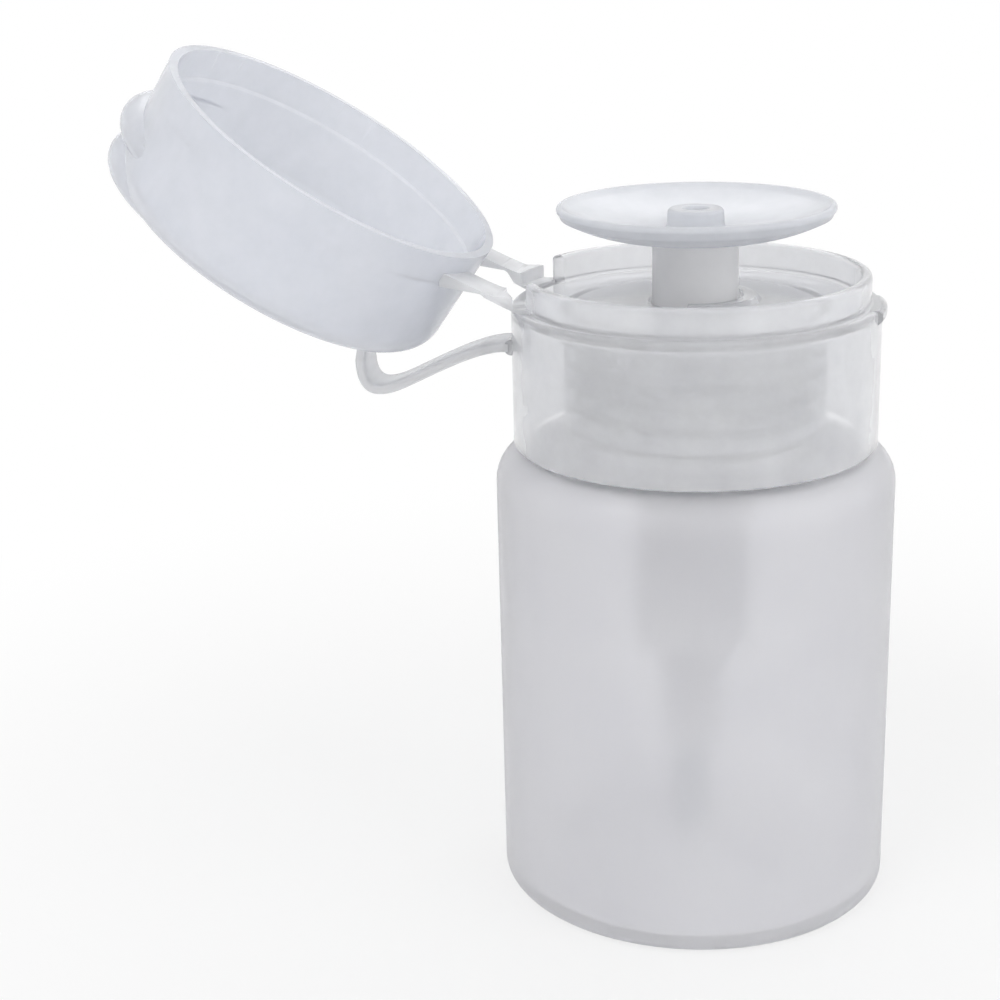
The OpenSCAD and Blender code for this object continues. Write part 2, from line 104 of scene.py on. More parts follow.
# rounds each corner that carries a third number, its radius, and holds the flats beside it with a guard point
def softProfile(points, closed=True, steps=5, guard=0.12):
    out = []
    for i, point in enumerate(points):
        here = Vector(point[:2])
        radius = point[2] if len(point) > 2 else 0
        isEnd = not closed and i in (0, len(points) - 1)
        if radius == 0 or isEnd:
            out.append(tuple(here))
            continue
        back = Vector(points[i - 1][:2]) - here
        ahead = Vector(points[(i + 1) % len(points)][:2]) - here
        half = back.angle(ahead) / 2
        reach = min(radius / math.tan(half), 0.48 * back.length, 0.48 * ahead.length)
        radius = reach * math.tan(half)
        a, b = back.normalized(), ahead.normalized()
        centre = here + (a + b).normalized() * (radius / math.sin(half))
        first, last = here + a * reach - centre, here + b * reach - centre
        sweep = math.atan2(first.x * last.y - first.y * last.x, first.dot(last))
        if back.length > 2 * (reach + guard):
            out.append(tuple(here + a * (reach + guard)))
        for k in range(steps + 1):
            turn = sweep * k / steps
            out.append((centre.x + first.x * math.cos(turn) - first.y * math.sin(turn),
                        centre.y + first.x * math.sin(turn) + first.y * math.cos(turn)))
        if ahead.length > 2 * (reach + guard):
            out.append(tuple(here + b * (reach + guard)))
    return out


def lathe(name, profile, closed=True, steps=160):
    verts, rings, faces = [], [], []
    for r, z in profile:
        if abs(r) < 1e-6:
            rings.append([len(verts)] * steps)
            verts.append((0, 0, z))
            continue
        rings.append(range(len(verts), len(verts) + steps))
        for k in range(steps):
            a = 2 * math.pi * k / steps
            verts.append((r * math.cos(a), r * math.sin(a), z))
    pairs = list(zip(rings, rings[1:])) + ([(rings[-1], rings[0])] if closed else [])
    for low, high in pairs:
        for k in range(steps):
            m = (k + 1) % steps
            corners = list(dict.fromkeys((low[k], low[m], high[m], high[k])))
            if len(corners) > 2:
                faces.append(corners)
    return toMesh(name, verts, faces)


def moved(obj, matrix):
    obj.data.transform(matrix)
    obj.data.update()
    return obj


def applyAll(obj):
    graph = bpy.context.evaluated_depsgraph_get()
    mesh = bpy.data.meshes.new_from_object(obj.evaluated_get(graph))
    obj.modifiers.clear()
    obj.data = mesh
    return obj


def withModifier(obj, kind, **settings):
    mod = obj.modifiers.new(kind.title(), kind)
    for key, value in settings.items():
        setattr(mod, key, value)
    return applyAll(obj)


def combine(obj, other, operation):
    withModifier(obj, "BOOLEAN", object=other, operation=operation, solver="EXACT")
    bpy.data.objects.remove(other)
    return obj


def softEdges(obj, width, angle=34):
    withModifier(obj, "BEVEL", width=width * mm, segments=2, limit_method="ANGLE",
                 angle_limit=math.radians(angle), use_clamp_overlap=True)
    for face in obj.data.polygons:
        face.use_smooth = True
    return withModifier(obj, "WEIGHTED_NORMAL", keep_sharp=False, weight=60)


# a strap along a route of (x, z, thickness) in the mid-plane, with rounded long edges
def strapMesh(name, route, width, corner):
    verts, faces = [], []
    count = len(route)
    ringSize = 16
    for i, (x, z, thick) in enumerate(route):
        before, after = route[max(i - 1, 0)], route[min(i + 1, count - 1)]
        along = Vector((after[0] - before[0], after[1] - before[1])).normalized()
        up = Vector((-along.y, along.x))
        radius = min(corner, thick * 0.45)
        for sideY, sideN, startAngle in ((1, 1, 0), (-1, 1, 90), (-1, -1, 180), (1, -1, 270)):
            for k in range(4):
                a = math.radians(startAngle + 30 * k)
                y = sideY * (width / 2 - radius) + radius * math.cos(a)
                n = sideN * (thick / 2 - radius) + radius * math.sin(a)
                verts.append((x + up.x * n, y, z + up.y * n))
    for i in range(count - 1):
        for k in range(ringSize):
            m = (k + 1) % ringSize
            a, b = i * ringSize, (i + 1) * ringSize
            faces.append((a + k, a + m, b + m, b + k))
    faces.append(tuple(reversed(range(ringSize))))
    faces.append(tuple(range((count - 1) * ringSize, count * ringSize)))
    return toMesh(name, verts, faces)


def bezier(points, t):
    a, b, c, d = (Vector(p) for p in points)
    return (1 - t) ** 3 * a + 3 * t * (1 - t) ** 2 * b + 3 * t * t * (1 - t) * c + t ** 3 * d


# shader helpers
class Signal:
    # one output socket, so that shader maths reads as plain expressions
    def __init__(self, finish, socket):
        self.finish = finish
        self.socket = socket

    def maths(self, operation, first, second):
        return self.finish.node("ShaderNodeMath", {"operation": operation}, {0: first, 1: second})

    def __add__(self, other):
        return self.maths("ADD", self, other)

    def __sub__(self, other):
        return self.maths("SUBTRACT", self, other)

    def __mul__(self, other):
        return self.maths("MULTIPLY", self, other)

    def __rsub__(self, other):
        return self.maths("SUBTRACT", other, self)

    __radd__ = __add__
    __rmul__ = __mul__


class Finish:
    def __init__(self, name):
        self.material = bpy.data.materials.new(name)
        self.material.use_nodes = True
        self.tree = self.material.node_tree
        self.tree.nodes.clear()

    # a node of this type: its settings first, then the values or links of its sockets
    def node(self, kind, settings=None, sockets=None, output=0):
        made = self.tree.nodes.new(kind)
        for key, value in (settings or {}).items():
            setattr(made, key, value)
        for key, value in (sockets or {}).items():
            if isinstance(value, Signal):
                self.tree.links.new(value.socket, made.inputs[key])
            else:
                made.inputs[key].default_value = value
        return Signal(self, made.outputs[output]) if len(made.outputs) else None

    def noise(self, vector, size, detail=2.0, roughness=0.5):
        return self.node("ShaderNodeTexNoise", None, {"Vector": vector, "Scale": 1 / (size * mm),
                                                      "Detail": detail, "Roughness": roughness})

    def mixed(self, factor, first, second):
        return self.node("ShaderNodeMix", {"data_type": "RGBA"}, {0: factor, 6: first, 7: second}, output=2)

    def output(self, shader):
        self.node("ShaderNodeOutputMaterial", None, {"Surface": shader})


# finishes
# colours are linear; cloud and grain are the sizes in mm of the milky clouds and of the moulded surface texture;
# milk is the share of light that the plastic scatters; over the heights in shadeLift it goes to shadeLiftMilk and
# the colour to shadeLiftPale, a painted lightening of the shade on the bottle's neck inside the collar and on the
# dish's shank under the bowl
# the bottle's paler colour from the shoulder up is painted light, lifting the shade inside the collar
bottlePp = dict(name="bottleFrost", pale=(0.93, 0.93, 0.95), deep=(0.90, 0.90, 0.925), cloud=9.0, grain=0.35,
                grainDepth=0.010, roughness=(0.30, 0.38), milk=0.34, shadeLift=(51.5, 54.5), shadeLiftMilk=0.72,
                shadeLiftPale=(0.96, 0.96, 0.965), ior=1.2, coat=0.0, coatRoughness=0.3)
# the collar's colour is paler than the lid's: painted light lifting the shade inside the collar
closureShadedPp = dict(name="closureShadedFrost", pale=(0.965, 0.97, 0.985), deep=(0.95, 0.955, 0.975), cloud=6.0, grain=0.5,
                 grainDepth=0.004, roughness=(0.09, 0.14), milk=0.30, ior=1.2, coat=0.15, coatRoughness=0.1)
# the lid's darker, bluer colour is a lit copy of the collar's plastic: painted shade for the light it catches
lidLitPp = dict(closureShadedPp, name="lidLitFrost", pale=(0.89, 0.905, 0.945), deep=(0.87, 0.885, 0.93), milk=0.50,
             roughness=(0.15, 0.21), coat=0.08)
strapPp = dict(closureShadedPp, name="strapFrost", milk=0.55, roughness=(0.2, 0.26), coat=0.0)
# the dish's paler colour below the bowl is painted light, lifting the shade on the shank under the dish
dishPp = dict(name="dishFrost", pale=(0.88, 0.895, 0.93), deep=(0.86, 0.875, 0.915), cloud=5.0, grain=0.6,
              grainDepth=0.003, roughness=(0.20, 0.26), milk=0.52, shadeLift=(76.4, 75.2), shadeLiftMilk=0.85,
              shadeLiftPale=(0.97, 0.97, 0.98), ior=1.2, coat=0.03, coatRoughness=0.15)
pumpPp = dict(name="pumpWhite", pale=(0.90, 0.90, 0.91), deep=(0.88, 0.88, 0.89), cloud=4.0, grain=0.4,
              grainDepth=0.005, roughness=(0.3, 0.4), milk=0.70, ior=1.2, coat=0.0, coatRoughness=0.2)
sealPe = dict(name="sealWhite", pale=(0.90, 0.91, 0.91), deep=(0.86, 0.87, 0.87), cloud=2.5, grain=0.2,
              grainDepth=0.006, roughness=(0.45, 0.55), milk=0.85, ior=1.3, coat=0.0, coatRoughness=0.3)
tubePe = dict(name="tubeClear", pale=(0.92, 0.93, 0.95), deep=(0.88, 0.90, 0.92), cloud=5.0, grain=0.3,
              grainDepth=0.003, roughness=(0.2, 0.26), milk=0.30, ior=1.2, coat=0.1, coatRoughness=0.15)


# shares of the noises in the colour, the band of the noise that is used, and how far the milk follows the clouds
plasticMix = dict(cloud=0.7, flow=0.3, low=0.35, high=0.65, milkSwing=0.12, flowSize=0.3, flowStretch=0.25,
                  flowBump=0.5)


# milky moulded plastic: slow clouds in its colour and clearness, faint flow lines and a fine surface grain
def plastic(look):
    s = plasticMix
    finish = Finish(look["name"])
    place = finish.node("ShaderNodeTexCoord", output="Object")
    cloud = finish.noise(place, look["cloud"], detail=4.0, roughness=0.55)
    stretched = finish.node("ShaderNodeMapping", None, {"Vector": place, "Scale": (1.0, 1.0, s["flowStretch"])})
    flow = finish.noise(stretched, look["cloud"] * s["flowSize"], detail=2.0)
    speck = finish.noise(place, look["grain"] * 2.0, detail=1.0)
    tone = finish.node("ShaderNodeMapRange", None, {
        "Value": cloud * s["cloud"] + flow * s["flow"], "From Min": s["low"], "From Max": s["high"]})
    colour = finish.mixed(tone, (*look["deep"], 1), (*look["pale"], 1))
    milk = look["milk"] + (cloud - 0.5) * s["milkSwing"]
    # painted light: over these heights the colour goes paler, lifting the shade inside the collar and under the
    # dish
    if "shadeLift" in look:
        height = finish.node("ShaderNodeSeparateXYZ", None, {0: place}, output="Z")
        shadeLift = finish.node("ShaderNodeMapRange", {"interpolation_type": "SMOOTHSTEP"}, {
            "Value": height, "From Min": look["shadeLift"][0] * mm, "From Max": look["shadeLift"][1] * mm})
        milk = milk + shadeLift * (look["shadeLiftMilk"] - look["milk"])
        colour = finish.mixed(shadeLift, colour, (*look["shadeLiftPale"], 1))
    low, high = look["roughness"]
    roughness = finish.node("ShaderNodeMapRange", None,
                            {"Value": speck * 0.5 + cloud * 0.5, "From Min": s["low"], "From Max": s["high"],
                             "To Min": low, "To Max": high})
    grain = finish.noise(place, look["grain"], detail=3.0, roughness=0.6)
    bump = finish.node("ShaderNodeBump", None, {"Strength": 1.0, "Distance": look["grainDepth"] * mm,
                                                "Height": grain + flow * s["flowBump"]})
    shared = {"Base Color": colour, "Roughness": roughness, "Normal": bump, "IOR": look["ior"],
              "Coat Weight": look["coat"], "Coat Roughness": look["coatRoughness"]}
    clear = finish.node("ShaderNodeBsdfPrincipled", None, {**shared, "Transmission Weight": 1.0})
    milky = finish.node("ShaderNodeBsdfPrincipled", None, shared)
    finish.output(finish.node("ShaderNodeMixShader", None, {0: milk, 1: clear, 2: milky}))
    return finish.material


steelLook = dict(dark=(0.50, 0.51, 0.53), light=(0.62, 0.63, 0.65), roughness=(0.18, 0.38), scratch=0.5,
                 stretch=9.0, patch=2.0, depth=0.004)


# drawn stainless steel: fine scratches and a slight unevenness
def steelFinish():
    s = steelLook
    finish = Finish("springSteel")
    place = finish.node("ShaderNodeTexCoord", output="Object")
    stretched = finish.node("ShaderNodeMapping", None, {"Vector": place, "Scale": (1.0, 1.0, s["stretch"])})
    scratches = finish.noise(stretched, s["scratch"], detail=3.0)
    patches = finish.noise(place, s["patch"], detail=2.0)
    colour = finish.mixed(patches, (*s["dark"], 1), (*s["light"], 1))
    low, high = s["roughness"]
    roughness = finish.node("ShaderNodeMapRange", None, {"Value": scratches, "To Min": low, "To Max": high})
    bump = finish.node("ShaderNodeBump", None, {"Strength": 0.5, "Distance": s["depth"] * mm, "Height": scratches})
    finish.output(finish.node("ShaderNodeBsdfPrincipled", None, {
        "Base Color": colour, "Metallic": 1.0, "Roughness": roughness, "Normal": bump}))
    return finish.material


# by slot name; the lid and the straps share a slot with the collar and look milkier; the lid is also coloured
# darker and bluer than the collar, lit and shaded copies of one plastic, which is painted light
materials = dict(bottle_pp=plastic(bottlePp), closure_pp=plastic(closureShadedPp), lid=plastic(lidLitPp),
                 strap=plastic(strapPp), dish_pp=plastic(dishPp), pump_pp=plastic(pumpPp),
                 seal_pe=plastic(sealPe), tube_pe=plastic(tubePe), steel=steelFinish())


def finished(obj, slot, body, *nodes, look=None):
    obj.data.set_sharp_from_angle(angle=math.radians(50))
    obj.data.materials.clear()
    obj.data.materials.append(materials[look or slot])
    if body:
        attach(obj, body)
    if nodes:
        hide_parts(*nodes)
    return obj


# a CAD node that keeps its own shape
def keptNode(node, slot):
    obj = frame["nodes"][node]
    obj.data.materials.clear()
    obj.data.materials.append(materials[slot])


print("finishes ready")

# helical pieces, grown by one node tree each
def helixTree(name, inputs):
    tree = bpy.data.node_groups.new(name, "GeometryNodeTree")
    for label, value in inputs:
        tree.interface.new_socket(label, in_out="INPUT", socket_type="NodeSocketFloat").default_value = value
    tree.interface.new_socket("Material", in_out="INPUT", socket_type="NodeSocketMaterial")
    tree.interface.new_socket("Geometry", in_out="OUTPUT", socket_type="NodeSocketGeometry")
    return tree, tree.nodes.new("NodeGroupInput"), tree.nodes.new("NodeGroupOutput")


def treeNode(tree, kind, settings=None, sockets=None):
    made = tree.nodes.new(kind)
    for key, value in (settings or {}).items():
        setattr(made, key, value)
    for key, value in (sockets or {}).items():
        if isinstance(value, bpy.types.NodeSocket):
            tree.links.new(value, made.inputs[key])
        else:
            made.inputs[key].default_value = value
    return made


def treeMaths(tree, operation, first, second=0.0):
    return treeNode(tree, "ShaderNodeMath", {"operation": operation}, {0: first, 1: second}).outputs[0]


def grown(name, tree, values):
    obj = bpy.data.objects.new(name, bpy.data.meshes.new(name))
    bpy.context.scene.collection.objects.link(obj)
    mod = obj.modifiers.new("Grow", "NODES")
    mod.node_group = tree
    for item in tree.interface.items_tree:
        if item.in_out == "INPUT" and item.name in values:
            mod[item.identifier] = values[item.name]
    return applyAll(obj)


# a thread ridge: a spiral swept with a trapezoid, run out at both ends and lowered at the mould's parting line
def threadTree():
    tree, group, out = helixTree("threadRidge", [
        ("Turns", 4.0), ("Radius", 0.0126), ("Height", 0.01), ("Foot", 0.0013), ("Crest", 0.0006),
        ("Depth", 0.0005), ("Run Out", 0.05), ("Break", 0.0), ("Break Angle", 0.0)])
    given = group.outputs
    spiral = treeNode(tree, "GeometryNodeCurveSpiral", None, {
        "Resolution": 90, "Rotations": given["Turns"], "Start Radius": given["Radius"],
        "End Radius": given["Radius"], "Height": given["Height"]})
    upright = treeNode(tree, "GeometryNodeSetCurveNormal", {"mode": "Z_UP"}, {"Curve": spiral.outputs[0]})
    along = treeNode(tree, "GeometryNodeSplineParameter").outputs["Factor"]
    rising = treeMaths(tree, "DIVIDE", along, given["Run Out"])
    falling = treeMaths(tree, "DIVIDE", treeMaths(tree, "SUBTRACT", 1.0, along), given["Run Out"])
    taper = treeMaths(tree, "MINIMUM", treeMaths(tree, "MINIMUM", rising, falling), 1.0)
    where = treeNode(tree, "ShaderNodeSeparateXYZ", None,
                     {0: treeNode(tree, "GeometryNodeInputPosition").outputs[0]}).outputs
    angle = treeMaths(tree, "ARCTAN2", where["Y"], where["X"])
    offBreak = treeMaths(tree, "ABSOLUTE", treeMaths(tree, "SUBTRACT", angle, given["Break Angle"]))
    open_ = treeNode(tree, "ShaderNodeMapRange", {"interpolation_type": "SMOOTHSTEP"}, {
        "Value": offBreak, "From Min": treeMaths(tree, "MULTIPLY", given["Break"], 0.6), "From Max": given["Break"],
        "To Min": 0.12, "To Max": 1.0}).outputs[0]
    scale = treeMaths(tree, "MAXIMUM", treeMaths(tree, "MULTIPLY", taper, open_), 0.06)
    profile = treeNode(tree, "GeometryNodeCurvePrimitiveQuadrilateral", {"mode": "TRAPEZOID"}, {
        "Height": given["Depth"], "Bottom Width": given["Foot"], "Top Width": given["Crest"], "Offset": 0.0})
    swept = treeNode(tree, "GeometryNodeCurveToMesh", None, {
        "Curve": upright.outputs[0], "Profile Curve": profile.outputs[0], "Scale": scale, "Fill Caps": True})
    smooth = treeNode(tree, "GeometryNodeSetShadeSmooth", None, {
        "Geometry": swept.outputs[0], "Shade Smooth": False})
    solid = treeNode(tree, "GeometryNodeRealizeInstances", None, {"Geometry": smooth.outputs[0]})
    painted = treeNode(tree, "GeometryNodeSetMaterial", None, {
        "Geometry": solid.outputs[0], "Material": given["Material"]})
    tree.links.new(painted.outputs[0], out.inputs[0])
    return tree


# a compression spring: an even helix with one close turn at each end
def springTree():
    tree, group, out = helixTree("springCoil", [
        ("Turns", 9.0), ("Radius", 0.0032), ("Height", 0.02), ("Wire", 0.0004), ("Close", 0.0009)])
    given = group.outputs
    spiral = treeNode(tree, "GeometryNodeCurveSpiral", None, {
        "Resolution": 40, "Rotations": given["Turns"], "Start Radius": given["Radius"],
        "End Radius": given["Radius"], "Height": given["Height"]})
    where = treeNode(tree, "ShaderNodeSeparateXYZ", None,
                     {0: treeNode(tree, "GeometryNodeInputPosition").outputs[0]}).outputs
    along = treeNode(tree, "GeometryNodeSplineParameter").outputs["Factor"]
    turn = treeMaths(tree, "MULTIPLY", along, given["Turns"])
    left = treeMaths(tree, "SUBTRACT", given["Turns"], turn)
    openHeight = treeMaths(tree, "SUBTRACT", given["Height"], treeMaths(tree, "MULTIPLY", given["Close"], 2.0))
    pitch = treeMaths(tree, "DIVIDE", openHeight, treeMaths(tree, "SUBTRACT", given["Turns"], 2.0))
    first = treeMaths(tree, "MULTIPLY", treeMaths(tree, "MINIMUM", turn, 1.0), given["Close"])
    last = treeMaths(tree, "MULTIPLY", treeMaths(tree, "MINIMUM", left, 1.0), given["Close"])
    past = treeMaths(tree, "MAXIMUM", treeMaths(tree, "SUBTRACT", turn, 1.0), 0.0)
    middle = treeMaths(tree, "MINIMUM", treeMaths(tree, "MULTIPLY", past, pitch), openHeight)
    height = treeMaths(tree, "ADD", treeMaths(tree, "ADD", first, middle),
                       treeMaths(tree, "SUBTRACT", given["Close"], last))
    placed = treeNode(tree, "GeometryNodeSetPosition", None, {
        "Geometry": spiral.outputs[0],
        "Position": treeNode(tree, "ShaderNodeCombineXYZ", None,
                             {"X": where["X"], "Y": where["Y"], "Z": height}).outputs[0]})
    upright = treeNode(tree, "GeometryNodeSetCurveNormal", {"mode": "Z_UP"}, {"Curve": placed.outputs[0]})
    wire = treeNode(tree, "GeometryNodeCurvePrimitiveCircle", None, {"Resolution": 14, "Radius": given["Wire"]})
    swept = treeNode(tree, "GeometryNodeCurveToMesh", None, {
        "Curve": upright.outputs[0], "Profile Curve": wire.outputs[0], "Fill Caps": True})
    solid = treeNode(tree, "GeometryNodeRealizeInstances", None, {"Geometry": swept.outputs[0]})
    painted = treeNode(tree, "GeometryNodeSetMaterial", None, {
        "Geometry": solid.outputs[0], "Material": given["Material"]})
    tree.links.new(painted.outputs[0], out.inputs[0])
    return tree


# bottle
bottleSize = dict(shoulder=52.5, shoulderRadius=4.0, wall=1.2, heelRadius=1.2, footWidth=3.0, pushUp=1.6,
                  neckRadius=12.6, neckWall=1.3, neckFillet=0.8, lipRadius=0.4)


def dome(r, z, rise, steps=10):
    return [(r * i / steps, z + rise * (1 - (i / steps) ** 2)) for i in range(steps + 1)]


def makeBottle():
    s = bottleSize
    radius, neckTop, wall = bottleHigh.x, bottleHigh.z, s["wall"]
    footIn = radius - s["heelRadius"] - s["footWidth"]
    bore = s["neckRadius"] - s["neckWall"]
    under = s["shoulder"] - wall
    base = dome(footIn, 0, s["pushUp"])
    outside = softProfile([base[-1], (radius, 0, s["heelRadius"]), (radius, s["shoulder"], s["shoulderRadius"]),
                           (s["neckRadius"], s["shoulder"], s["neckFillet"]),
                           (s["neckRadius"], neckTop, s["lipRadius"]), (bore, neckTop, s["lipRadius"]),
                           (bore, under, s["neckFillet"]), (radius - wall, under, s["shoulderRadius"] - wall),
                           (radius - wall, wall, s["heelRadius"]), (footIn - wall / 2, wall)],
                          closed=False, steps=10)
    inside = list(reversed(dome(footIn - wall / 2, wall, s["pushUp"])))
    shell = lathe("bottleShell", base[:-1] + outside + inside[1:], closed=False, steps=192)
    finished(shell, "bottle_pp", "bottle", "bottle")


threadSize = dict(pitch=2.4, foot=1.5, crest=0.6, depth=0.5, neckTurns=4.2, neckFrom=1.4, skirtTurns=3.8,
                  skirtFrom=1.6, bite=0.12, runOut=0.06, parting=0.09, partingAngle=-97.0)


def makeThreads(tree):
    s, skirt = threadSize, collarSize
    neck = dict(Turns=s["neckTurns"], Radius=(bottleSize["neckRadius"] + s["depth"] / 2 - s["bite"]) * mm)
    deck = gasketHigh.z + skirt["flange"]
    inner = dict(Turns=s["skirtTurns"], Radius=(skirt["skirtRadius"] - s["depth"] / 2 + s["bite"]) * mm)
    for name, values, top, slot, body in (
            ("neckThread", neck, bottleHigh.z - s["neckFrom"], "bottle_pp", "bottle"),
            ("skirtThread", inner, deck - s["skirtFrom"], "closure_pp", "collar")):
        values.update(Height=values["Turns"] * s["pitch"] * mm, Foot=s["foot"] * mm, Crest=s["crest"] * mm,
                      Depth=s["depth"] * mm, Break=s["parting"], Material=materials[slot])
        values["Run Out"] = s["runOut"]
        values["Break Angle"] = math.radians(s["partingAngle"])
        ridge = grown(name, tree, values)
        moved(ridge, Matrix.Translation((0, 0, (top - values["Turns"] * s["pitch"]) * mm)))
        finished(ridge, slot, body)


# collar, one moulding: outer shell, deck, threaded skirt and the ring that the lid closes over
collarSize = dict(wall=1.2, deck=1.3, flange=1.35, edge=0.6, skirtRadius=13.65, skirtWall=1.0, skirtLength=12.4,
                  ringRadius=19.2, ringWall=1.2, ringHeight=3.15, notch=16.0, holeRadius=5.25, bossWidth=1.9,
                  bossHeight=0.7, catchWidth=8.0, catchOut=0.5, catchHeight=1.6, strapDrop=5.4, rootRadius=0.9,
                  soften=0.15)


def strapRoot(name, x, z):
    r, width = collarSize["rootRadius"], strapSize["width"] - strapSize["rootInset"]
    bar = lathe(name, softProfile([(0, -width / 2), (r, -width / 2, 0.2), (r, width / 2, 0.2), (0, width / 2)],
                                  closed=False, steps=3), closed=False, steps=40)
    return moved(bar, Matrix.Translation((x * mm, 0, z * mm)) @ Matrix.Rotation(math.pi / 2, 4, "X"))


def collarTop():
    return collarHigh.z - collarSize["ringHeight"]


def makeCollar():
    s = collarSize
    radius, low = collarHigh.y, collarLow.z
    ringTop, top = collarHigh.z, collarTop()
    deck = top - s["deck"]
    shellIn = radius - s["wall"]
    skirtIn, skirtOut, skirtLow = s["skirtRadius"], s["skirtRadius"] + s["skirtWall"], deck - s["skirtLength"]
    ringIn, ringOut = s["ringRadius"] - s["ringWall"], s["ringRadius"]
    bossOut, bossTop = s["holeRadius"] + s["bossWidth"], top + s["bossHeight"]
    profile = softProfile([
        (shellIn, low, 0.3), (radius, low, 0.3), (radius, top, s["edge"]), (ringOut, top, 0.25),
        (ringOut, ringTop, 0.5), (ringIn, ringTop, 0.5), (ringIn, top, 0.35),
        (bossOut, top, 0.3), (bossOut - 0.4, bossTop, 0.25), (s["holeRadius"], bossTop, 0.25),
        (s["holeRadius"], deck, 0.3), (skirtIn, deck, 0.3),
        (skirtIn, skirtLow, 0.3), (skirtOut, skirtLow, 0.3), (skirtOut, deck, 0.4), (shellIn, deck, 0.4)], steps=6)
    collar = lathe("collarShell", profile, steps=192)
    notch = boxBetween("notchCut", (-radius - 1, -s["notch"] / 2, top), (-0.1, s["notch"] / 2, ringTop + 1))
    combine(collar, notch, "DIFFERENCE")
    root = strapRoot("collarStrapRoot", -radius, top - s["strapDrop"])
    inside = boxBetween("insideCut", (-shellIn, -9, low), (0, 9, top))
    combine(root, inside, "DIFFERENCE")
    combine(collar, root, "UNION")
    catchLow, catchOut, catchSide = top - s["catchHeight"], radius + s["catchOut"], s["catchWidth"] / 2
    snag = softProfile([(radius - 0.6, catchLow), (radius, catchLow, 0.2), (catchOut, catchLow + 0.5, 0.25),
                        (catchOut, top - 0.4, 0.25), (radius, top, 0.2), (radius - 0.6, top)], steps=3)
    catch = lathe("catchRing", snag, steps=192)
    window = boxBetween("catchWindow", (radius - 2, -catchSide, top - 3), (radius + 2, catchSide, top + 1))
    combine(catch, window, "INTERSECT")
    combine(collar, catch, "UNION")
    softEdges(collar, s["soften"])
    finished(collar, "closure_pp", "collar", "collar")


def boxBetween(name, low, high):
    verts = [(x, y, z) for x in (low[0], high[0]) for y in (low[1], high[1]) for z in (low[2], high[2])]
    faces = [(0, 1, 3, 2), (4, 6, 7, 5), (0, 4, 5, 1), (2, 3, 7, 6), (0, 2, 6, 4), (1, 5, 7, 3)]
    return toMesh(name, verts, faces)


# lid, drawn closed and swung open
lidSize = dict(radius=20.65, height=14.8, wall=1.0, corner=3.5, draft=0.25, mouth=3.6, step=0.25, gap=0.5,
               ribHeight=4.25, ribRadius=16.5, lowerOut=2.1, upperOut=1.45, strapInset=7.2,
               soften=0.22)


def opened():
    hinge = Matrix.Translation((hingeX * mm, 0, hingeZ * mm))
    return hinge @ Matrix.Rotation(-lidOpen, 4, "Y") @ hinge.inverted()


def lidRim():
    return collarTop() + lidSize["gap"]


def makeLid():
    s = lidSize
    radius, height, topOut = s["radius"], s["height"], s["radius"] - s["draft"]
    mouthIn, topIn = radius - s["wall"], radius - s["wall"] - s["step"] - s["draft"]
    roof = height - s["wall"]
    crown = softProfile([(0, -2), (radius, -2), (radius, 0), (topOut, height, s["corner"]), (0, height)],
                        closed=False, steps=12)
    lid = lathe("lidShell", crown, closed=False, steps=192)
    for name, z, out in (("upperRib", height - s["ribHeight"], s["upperOut"]),
                         ("lowerRib", height - 2 * s["ribHeight"], s["lowerOut"])):
        half = s["ribHeight"] / 2
        rib = lathe(name, [(0, 0)] + arc(s["ribRadius"] - half, half, half, -90, 90, 12) + [(0, s["ribHeight"])],
                    closed=False, steps=192)
        moved(rib, Matrix.Translation(((radius + out - s["ribRadius"]) * mm, 0, z * mm)))
        combine(lid, rib, "UNION")
    combine(lid, strapRoot("lidStrapRoot", -(radius - s["strapInset"]), height), "UNION")
    cavity = softProfile([(0, -3), (mouthIn, -3), (mouthIn, s["mouth"], 0.15),
                          (mouthIn - s["step"], s["mouth"] + 0.4, 0.2), (topIn, roof, s["corner"] - s["wall"]),
                          (0, roof)], closed=False, steps=10)
    combine(lid, lathe("lidCavity", cavity, closed=False, steps=192), "DIFFERENCE")
    trim = boxBetween("rimTrim", (-30, -30, -5), (30, 30, 0))
    combine(lid, trim, "DIFFERENCE")
    softEdges(lid, s["soften"])
    moved(lid, opened() @ Matrix.Translation((0, 0, lidRim() * mm)))
    finished(lid, "closure_pp", "lid", "lid", look="lid")


# the two hinge straps: a foot lapped over the collar's edge, a wedge, a thin film on the hinge line and a flap
# that runs up onto the lid; one is drawn, and the front one is its mirror image
hingeStrapSize = dict(width=5.0, span=18.0, rootHeight=1.8, foot=0.2, film=0.5, flapLength=4.2, flapThick=1.7,
                      shutGap=0.15, soften=0.16, sink=0.4)


# edges longer than this are divided
def divided(points, longest):
    out = []
    for a, b in zip(points, points[1:] + points[:1]):
        count = max(1, math.ceil(math.dist(a, b) / longest))
        out += [(a[0] + (b[0] - a[0]) * i / count, a[1] + (b[1] - a[1]) * i / count) for i in range(count)]
    return out


